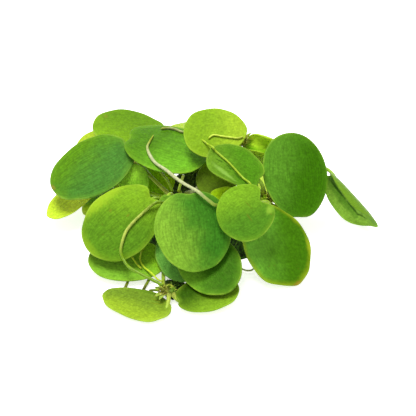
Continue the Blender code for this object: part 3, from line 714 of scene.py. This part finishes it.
back_crown = Crown("crown_back", (36.0, 34.0, 10.0), 3.2)
grow_crown(back_crown, [(340, 50, 3.2, 1.0), (60, 40, 3.0, 1.0), (200, 50, 3.0, 1.0)], 50, 6)
far_right = Leaf("leaf_far_right", back_crown, (57.9, 15.7, 10.9), (316, -12), 54, 28, 17.6, roll=160,
                 tip=0.12, seed=27)
back_middle = Leaf("leaf_back_middle", back_crown, (13.0, 46.0, 13.0), (180, 60), 230, 26, 21, seed=28)
back_right = Leaf("leaf_back_right", back_crown, (36.5, 47.6, 5.5), (165, 76), 170, 17, 15, seed=29)
# Three painted shadows along the crease, cast by the folded-over half, and a broad darker green band.
crease_shadows_and_band = [((0.25, -0.38), (0.09, 0.50), 7, (20, 60, 4), 0.85),
                ((0.32, 0.28), (0.09, 0.32), 4, (20, 60, 4), 0.85),
                ((0.24, 0.60), (0.06, 0.20), -42, (30, 66, 6), 0.7),
                ((0.45, 0.0), (0.22, 0.80), 5, (64, 124, 24), 0.5)]
grow_leaf(far_right, "leaf_green", (46, 87, 14), (136, 182, 62), (1.0, 0.3), (112, 156, 40),
          back=(104, 144, 34), blots=crease_shadows_and_band)
grow_leaf(back_middle, "leaf_green", (80, 122, 20), (108, 146, 34), (0.4, -0.6), (112, 148, 38))
grow_leaf(back_right, "leaf_green", (60, 106, 14), (82, 126, 26), (0.5, 0.5), (104, 142, 34))


# The runners: smooth olive stems that join one crown to the next. The front one arches over
# the left leaves in plain view, and a short white one shows in the middle gap. Two bare
# stalks, whose blades are gone, stand up from the middle crown in the same gap.

REST_GAP = 0.12  # between a strand and the blade that it lies on
CURVE_STEPS = 7  # from one place on a strand's route to the next
BLUNT = (1.0, 1.0)  # how grow_strand shapes the free end


def on(leaf, *spots):
    """Places on a blade that a strand lies on, from its spots (across, towards the tip)."""
    return [(leaf, *spot) for spot in spots]


def route_through(points, radius):
    """A smooth route through places, or through spots on a blade given as (leaf, a, b)."""
    gap = radius + REST_GAP
    places = []
    for point in points:
        on_blade = isinstance(point[0], Leaf)
        places.append(point[0].place(point[1], point[2], -gap) if on_blade else np.array(point, float))
    ends = [places[0] * 2 - places[1], *places, places[-1] * 2 - places[-2]]
    route = []
    for before, start, end, after in zip(ends, ends[1:], ends[2:], ends[3:]):
        curve = bezier(start, start + (end - before) / 6, end - (after - start) / 6, end, CURVE_STEPS + 1)
        route.append(curve[:-1])
    return np.vstack([*route, places[-1]])


def strand_skin(name, ends, middle, far, first=(0.03, 0.16), last=(0.60, 0.95)):
    """A root or runner: one colour at its free end, another along its middle, a third at its crown.
    first and last are the shares of its length over which they change."""
    skin = Skin(name, 0.35, specular=0.2)
    along, _, _ = skin.mark()
    speck = skin.noise(0.9, 3.0)
    drift = skin.plus(along, skin.times(skin.plus(speck, -0.5), 0.12))
    colour = skin.mix(skin.ramp(drift, *first), linear(ends), linear(middle))
    colour = skin.mix(skin.ramp(drift, *last), colour, linear(far))
    skin.colour(skin.shaded(colour, skin.ramp(speck, 0.3, 0.7, 0.8, 1.1)))
    skin.relief(speck, 0.06)
    return skin.material


def grow_strand(node, skin, radius, tip, points):
    """A strand through its points. tip gives how thick its first end is, as a share of the radius,
    and the share of its length over which it thickens to the whole."""
    route = route_through(points, radius)
    share = np.linspace(0, 1, len(route))
    radii = radius * np.minimum(1, tip[0] + (1 - tip[0]) * (share / tip[1]) ** 0.7)
    radii = radii * (1 + 0.05 * np.sin(share * 37 + radius * 9))
    growth = Growth()
    tube(growth, route, radii, TUBE_SIDES)
    growth.piece(node + "_strand", node, [skin])


def grow_runner(node, skin, radius, points):
    grow_strand(node, skin, radius, BLUNT, points)


runner_white = strand_skin("runner_white", (112, 128, 40), (164, 172, 116), (124, 140, 50))
runner_green = strand_skin("runner_green", (120, 150, 28), (138, 172, 32), (124, 148, 34))
bare_stalk = strand_skin("bare_stalk", (160, 184, 46), (176, 204, 60), (190, 206, 92))
runner_arch = strand_skin("runner_arch", (92, 124, 8), (156, 170, 70), (100, 134, 6),
                          (0.16, 0.36), (0.42, 0.58))

grow_runner("runner_front", runner_arch, 0.6, [
    (-13.0, 6.3, 14.8), (-11.8, 0.5, 17.6), (-15.0, -4.5, 23.6), (-20.0, -7.3, 26.5),
    *on(left_front, (-0.25, -0.57), (-0.27, -0.22), (-0.33, 0.05), (-0.48, 0.28), (-0.65, 0.45),
        (-0.83, 0.51)), (-31.5, -24.6, 9.9), (-29.8, -26.7, 9.6), (-27.1, -28.6, 9.3), (-23.1, -31.0, 8.6),
    (-19.3, -33.2, 8.0), (-17.2, -34.6, 7.8)])
grow_runner("runner_top", runner_white, 0.85, [
    (-9.5, 12.5, 15.5), (-4.4, 14.4, 17.0), (1.2, 19.7, 20.0), (7.0, 25.5, 25.0), (10.8, 28.3, 28.4)])
grow_runner("runner_left", runner_green, 0.9, [
    (-16.5, 12.2, 13.0), (-21.5, 16.5, 12.0), (-28.0, 20.0, 12.0), (-31.8, 27.4, 13.1)])
grow_runner("runner_right", runner_green, 0.9, [
    (-7.5, 9.5, 12.0), (0.0, 8.0, 10.0), (10.0, 6.5, 11.5), (18.0, 6.0, 15.0)])
grow_runner("runner_back", runner_green, 0.9, [
    (24.4, 8.8, 13.3), (27.8, 13.6, 8.6), (32.0, 23.0, 7.0), (34.4, 29.6, 8.4)])
grow_runner("stalk_bare_left", runner_green, 0.5, [
    (-14.1, 12.3, 16.6), (-16.1, 14.6, 20.0), (-19.4, 18.0, 23.0)])
grow_runner("stalk_bare_back", bare_stalk, 0.55, [
    (-11.9, 11.7, 17.4), (-11.0, 12.0, 21.0), (-9.8, 13.2, 24.6)])


# The long roots: thick, smooth and unbranched, white in the middle and yellow towards their
# tips. They trail over the upper leaves from the crowns that they grow from.

POINTED = (0.35, 0.05)


def grow_root(node, skin, radius, points, tip=POINTED):
    grow_strand(node, skin, radius, tip, points)


white_root = strand_skin("white_root", (132, 146, 22), (164, 170, 122), (122, 146, 38),
                         (0.05, 0.24), (0.45, 0.8))
dull_root = strand_skin("dull_root", (120, 132, 34), (134, 144, 78), (128, 142, 50))
yellow_root = strand_skin("yellow_root", (160, 186, 30), (174, 200, 42), (156, 172, 36))
middle_root = strand_skin("middle_root", (154, 170, 46), (140, 168, 34), (136, 144, 36),
                          (0.0, 0.2), (0.7, 0.95))
green_root = strand_skin("green_root", (160, 184, 40), (176, 196, 62), (150, 166, 44))
olive_root = strand_skin("olive_root", (104, 122, 24), (112, 132, 28), (96, 104, 26))

grow_root("root_long_white", white_root, 0.65, [
    *on(top_left, (-0.23, -0.37), (0.07, -0.39), (0.34, -0.37), (0.6, -0.24), (0.82, -0.04)),
    (-16.8, 10.2, 29.4), (-11.0, 2.2, 29.8), (-5.0, -7.7, 33.0), (-3.4, -9.8, 33.3), (-1.6, -10.9, 32.2),
    (0.9, -11.8, 30.3), (3.4, -12.2, 29.0), (8.3, -8.7, 28.2), (14.0, -3.5, 24.5), (18.2, 4.4, 20.2)],
    (0.25, 0.22))
grow_root("root_behind_top", dull_root, 0.55, [
    *on(top_left, (-0.63, -0.29), (-0.76, -0.14), (-0.78, 0.03), (-0.73, 0.23)),
    (-3.0, 34.5, 30.5), (5.0, 33.0, 31.2), (11.3, 30.3, 31.0)])
grow_root("root_front_arch", yellow_root, 0.38, [
    *on(under_left, (0.58, -0.38), (0.3, -0.32), (-0.05, -0.32), (-0.38, -0.42)),
    (-21.6, -25.3, 5.6), (-19.4, -29.3, 6.2), (-17.6, -31.8, 7.2)])
grow_root("root_front_tip", yellow_root, 0.35, on(under_left, (0.15, -0.07), (-0.25, -0.24), (-0.47, -0.36)))
grow_root("root_over_middle", middle_root, 0.42, [
    *on(top_centre, (-0.27, 0.45)), (-1.3, 20.0, 36.1), (-0.1, 18.4, 36.0), (1.9, 13.7, 37.9),
    *on(middle_leaf, (0.2, 0.82), (0.1, 0.55), (-0.05, 0.2), (-0.4, -0.4)), (16.3, 0.4, 30.2),
    (18.4, -1.0, 26.5), (19.6, 0.9, 23.0), (20.0, 3.5, 20.2)], (0.5, 0.2))
grow_root("root_on_top", green_root, 0.4, on(
    top_centre, (-0.25, 0.26), (-0.14, 0.08), (-0.22, -0.14), (-0.34, -0.42), (-0.44, -0.66), (-0.42, -0.84)))
grow_root("root_arc_thin", white_root, 0.35, [
    (9.0, -13.5, 3.0), (12.6, -17.0, 1.6), (15.5, -18.3, 1.2), (18.0, -17.5, 1.5), (21.0, -13.0, 3.0)])
grow_root("root_white_left", white_root, 0.45, [(20.1, 5.0, 20.9), (19.9, 6.5, 22.3), (19.4, 8.6, 23.3)])
grow_root("root_white_right", white_root, 0.4, [(23.9, 4.7, 20.8), (23.9, 6.6, 22.2), (23.3, 8.6, 23.4)])
grow_root("root_under_left", olive_root, 0.6, [(-29.3, -16.0, 2.4), (-30.8, -23.5, 1.5), (-32.3, -29.3, 1.0)])
grow_root("root_under_middle", olive_root, 0.6, [
    (-22.0, -19.0, 2.2), (-23.0, -24.0, 1.5), (-25.0, -29.3, 1.0)])
grow_root("root_under_right", olive_root, 0.5, [
    (-18.6, -33.0, 3.6), (-20.5, -31.5, 2.6), (-22.5, -30.3, 1.4)])


# The mats of fine roots: under the crowns, and behind the middle one, masses of thin roots,
# feathered with finer side roots, run down and out and are pressed flat on the table.

MAT_WAIST = 0.5  # how much a mat of roots draws in towards its top
MAT_LOBES = 0.13  # how far its lobes stand out
ROOT_STEPS = 9
SIDE_ROOTS = 12  # on each fine root
TABLE_GAP = 0.1


def feathery_skin(name, dark, light, heart_dark, heart_light):
    """Packed fine roots: each is darker or lighter, and the matted heart is darkest, partly the roots' own
    colour and partly painted shade.
    """
    skin = Skin(name, 0.7, specular=0.1)
    _, tone, core = skin.mark()
    speck = skin.noise(0.8, 4.0)
    fine = skin.mix(tone, linear(dark), linear(light))
    fine = skin.mix(skin.ramp(speck, 0.35, 0.7), fine, linear(heart_light))
    heart = skin.mix(skin.ramp(speck, 0.4, 0.62), linear(heart_dark), linear(heart_light))
    skin.colour(skin.mix(core, fine, heart))
    skin.relief(speck, 0.8)
    return skin.material


# Dark and dark green: partly the roots' own colour and partly painted shade for the gaps between the leaves
# where the mats show, the green one also the green of shaded leaves seen there.
shaded_dark_feathers = feathery_skin("shaded_dark_feathers", (20, 40, 3), (74, 104, 18), (12, 26, 2), (36, 66, 6))
shaded_green_feathers = feathery_skin("shaded_green_feathers", (58, 82, 12), (136, 160, 46), (26, 44, 6), (68, 94, 16))


@dataclass
class Mat:
    """A mat of roots, as the solid of the same name is shaped."""

    name: str
    foot: tuple  # middle of its underside
    spread: tuple  # half width and half depth of its underside
    top: tuple
    lobes: int
    turn: float  # of the lobes, in radians

    def lobe(self, bearing):
        """How far the underside reaches at a bearing, as a share of its spread."""
        return 1 + MAT_LOBES * np.sin(self.lobes * bearing + self.turn)


def grow_core(growth, mat, rng):
    """The matted heart of it: a lumpy dome of packed roots with a flat underside."""
    spokes, rings = 72, 30
    foot, spread, top = mat.foot, mat.spread, mat.top
    rise, bearing = np.meshgrid(np.linspace(0, math.pi / 2, rings), around(spokes), indexing="ij")
    up, out = np.sin(rise), np.cos(rise)
    lumps = 0
    for waves, ridges in ((9, 7), (14, 11), (23, 17)):
        p, q = rng.uniform(0, 6, 2)
        lumps = lumps + np.sin(waves * bearing + p) * np.cos(ridges * rise + q)
    wave = mat.lobe(bearing) * (1 - MAT_WAIST * up) * (0.985 + 0.02 * lumps)
    points = np.stack((foot[0] + (top[0] - foot[0]) * up + np.cos(bearing) * out * spread[0] * wave,
                       foot[1] + (top[1] - foot[1]) * up + np.sin(bearing) * out * spread[1] * wave,
                       TABLE_GAP + (top[2] - 0.3) * up * (1 + 0.02 * lumps)), -1).reshape(-1, 3)
    points = np.vstack((points, (*foot, TABLE_GAP)))
    faces = ring_faces(rings, spokes) + fan_faces(len(points) - 1, 0, spokes)
    growth.add(points, faces, np.tile((0.5, 0.1, 1.0), (len(points), 1)))


def grow_fine_root(growth, mat, rng):
    """One fine root, from the top of its mat down and out to the table, and its finer side roots."""
    foot, spread, top = mat.foot, mat.spread, mat.top
    bearing = rng.uniform(0, 2 * math.pi)
    reach = math.sqrt(rng.uniform(0.02, 1.0)) * mat.lobe(bearing) * 0.98
    land = np.array((foot[0] + math.cos(bearing) * spread[0] * reach,
                     foot[1] + math.sin(bearing) * spread[1] * reach, rng.uniform(0.12, 0.45)))
    head = np.array((top[0] + rng.normal() * 1.2, top[1] + rng.normal() * 1.2,
                     top[2] - rng.uniform(0.1, 0.5)))
    t = np.linspace(0, 1, ROOT_STEPS)[:, None]
    knee = head * 0.45 + land * 0.55 + np.array((0, 0, top[2] * rng.uniform(0.02, 0.22)))
    route = head * (1 - t) ** 2 + 2 * knee * t * (1 - t) + land * t * t
    route[1:-1] += rng.normal(size=(ROOT_STEPS - 2, 3)) * 0.22
    route[:, 2] = np.clip(route[:, 2], TABLE_GAP, top[2])
    tone = rng.uniform(0, 1) ** 2
    marks = np.linspace((0, tone, 0), (1, tone, 0), ROOT_STEPS)
    tube(growth, route, np.linspace(0.24, 0.10, ROOT_STEPS), 5, marks=marks)
    for _ in range(SIDE_ROOTS):
        start = route[rng.integers(1, ROOT_STEPS)]
        end = start + rng.normal(size=3) * (1.1, 1.1, 0.6)
        end[2] = np.clip(end[2], 0.05, top[2])
        bend = (start + end) / 2 + rng.normal(size=3) * 0.25
        bend[2] = max(bend[2], 0.05)
        tube(growth, (start, bend, end), (0.06, 0.05, 0.02), 3, marks=[(0.5, tone, 0.0)] * 3, cap=False)


def grow_mat(mat, roots, seed, feathers=shaded_dark_feathers):
    rng = np.random.default_rng(seed)
    growth = Growth()
    grow_core(growth, mat, rng)
    for _ in range(roots):
        grow_fine_root(growth, mat, rng)
    growth.piece(mat.name + "_mat", mat.name, [feathers])


grow_mat(Mat("roots_front", (-13.4, -27.8), (4.6, 5.8), (-13.0, -29.6, 4.0), 3, 0.4), 90, 11)
grow_mat(Mat("roots_centre", (-11.5, 9.0), (16.0, 13.5), (-11.5, 10.5, 8.6), 5, 1.1), 260, 12)
grow_mat(Mat("roots_behind", (-4.5, 34.0), (15.5, 8.5), (-4.5, 26.0, 19.0), 4, 0.9), 240, 16, shaded_green_feathers)
grow_mat(Mat("roots_left", (-34.0, 30.0), (10.0, 9.0), (-33.0, 32.0, 10.0), 4, 2.0), 160, 13)
grow_mat(Mat("roots_right", (17.0, -1.5), (12.0, 9.5), (22.0, 5.5, 13.0), 5, 0.2), 220, 14)
grow_mat(Mat("roots_back", (37.0, 35.0), (9.0, 8.0), (36.0, 34.0, 6.2), 3, 2.6), 140, 15)


# The table top, the light and the camera: a plain white sheet under a bright even sky, with a
# broad soft lamp almost overhead, a little to the left and back. It is all seen from the front,
# from 38 degrees above level.

FLOOR_HALF = 3.0
FLOOR_GLOW = 0.6
SKY_STRENGTH = 0.85
LAMP_PLACE = (-0.14, 0.06, 0.8)
VIEW_TARGET = (np.array((0.0, 1.4, 17.0)) + HEAP_PLACE) * MM
VIEW_HEIGHT = math.radians(38)
VIEW_DISTANCE = 0.56

floor_mesh = bpy.data.meshes.new("table_top")
floor_mesh.from_pydata([(-FLOOR_HALF, -FLOOR_HALF, 0), (FLOOR_HALF, -FLOOR_HALF, 0),
                        (FLOOR_HALF, FLOOR_HALF, 0), (-FLOOR_HALF, FLOOR_HALF, 0)], [], [(0, 1, 2, 3)])
floor = bpy.data.objects.new("table_top", floor_mesh)
bpy.context.scene.collection.objects.link(floor)
white = Skin("white_sheet", 0.9, specular=0.0)
white.colour((0.92, 0.92, 0.92, 1))
white.shader.inputs["Emission Color"].default_value = (1, 1, 1, 1)
white.shader.inputs["Emission Strength"].default_value = FLOOR_GLOW
floor_mesh.materials.append(white.material)

sky = bpy.data.worlds.new("studio")
bpy.context.scene.world = sky
sky.use_nodes = True
sky.node_tree.nodes["Background"].inputs["Color"].default_value = (1, 1, 1, 1)
sky.node_tree.nodes["Background"].inputs["Strength"].default_value = SKY_STRENGTH


def aim(made, place):
    """A lamp or camera at a place, turned towards the heap."""
    made.location = place
    made.rotation_euler = (Vector(VIEW_TARGET) - Vector(place)).to_track_quat("-Z", "Y").to_euler()
    bpy.context.scene.collection.objects.link(made)
    return made


lamp = bpy.data.lights.new("soft_box", "AREA")
lamp.shape, lamp.size, lamp.size_y, lamp.energy = "RECTANGLE", 0.40, 0.30, 8.2
aim(bpy.data.objects.new("soft_box", lamp), LAMP_PLACE)

lens = bpy.data.cameras.new("view")
lens.sensor_width, lens.lens, lens.clip_start = 36.0, 122.1, 0.01
eye = VIEW_TARGET + VIEW_DISTANCE * np.array((0, -math.cos(VIEW_HEIGHT), math.sin(VIEW_HEIGHT)))
bpy.context.scene.camera = aim(bpy.data.objects.new("view", lens), eye)
bpy.context.scene.view_settings.view_transform = "Standard"
